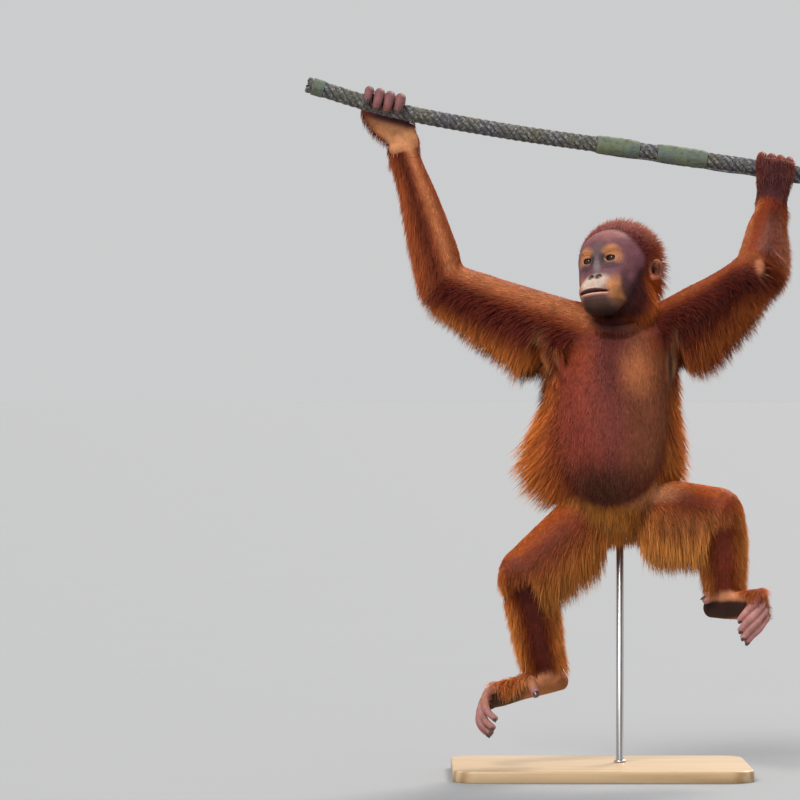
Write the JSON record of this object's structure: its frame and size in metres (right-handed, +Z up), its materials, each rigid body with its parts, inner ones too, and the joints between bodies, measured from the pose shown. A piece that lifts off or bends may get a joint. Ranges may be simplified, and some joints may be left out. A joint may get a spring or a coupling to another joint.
{
  "type": "orangutan display model",
  "caption": "Life-size still model of a young orangutan that hangs by both hands from a short length of thick rope, with legs bent, on a flat display base with one rod.",
  "frame": {"origin": "middle of the display base's flat underside", "axes": "+Z up; the animal faces -Y, so its right side is at -X and its left side at +X"},
  "size_m": [0.83, 0.32, 1.08],
  "materials": {
    "coat": "long, soft, rust-red hair over dark skin",
    "skin": "matte bare skin, grey-brown with tan and pink patches",
    "eye": "wet, dark amber-brown eye",
    "nail": "dark, half-glossy nail",
    "rope": "weathered grey twisted strands with greenish wrapped splices",
    "base": "oiled wood",
    "rod": "brushed round rod"
  },
  "bodies": {
    "root": {"head": "skin", "eye_right": "eye", "eye_left": "eye", "ear_right": "skin", "ear_left": "skin", "torso": "coat", "neck": "coat", "upper_arm_right": "coat", "forearm_right": "coat", "upper_arm_left": "coat", "forearm_left": "coat", "thigh_right": "coat", "shin_right": "coat", "thigh_left": "coat", "shin_left": "coat", "perch_rope": "rope", "hand_right": "skin", "hand_left": "skin", "foot_right": "skin", "foot_left": "skin", "stand_rod": "rod", "stand_base": "base"}
  },
  "joints": []
}
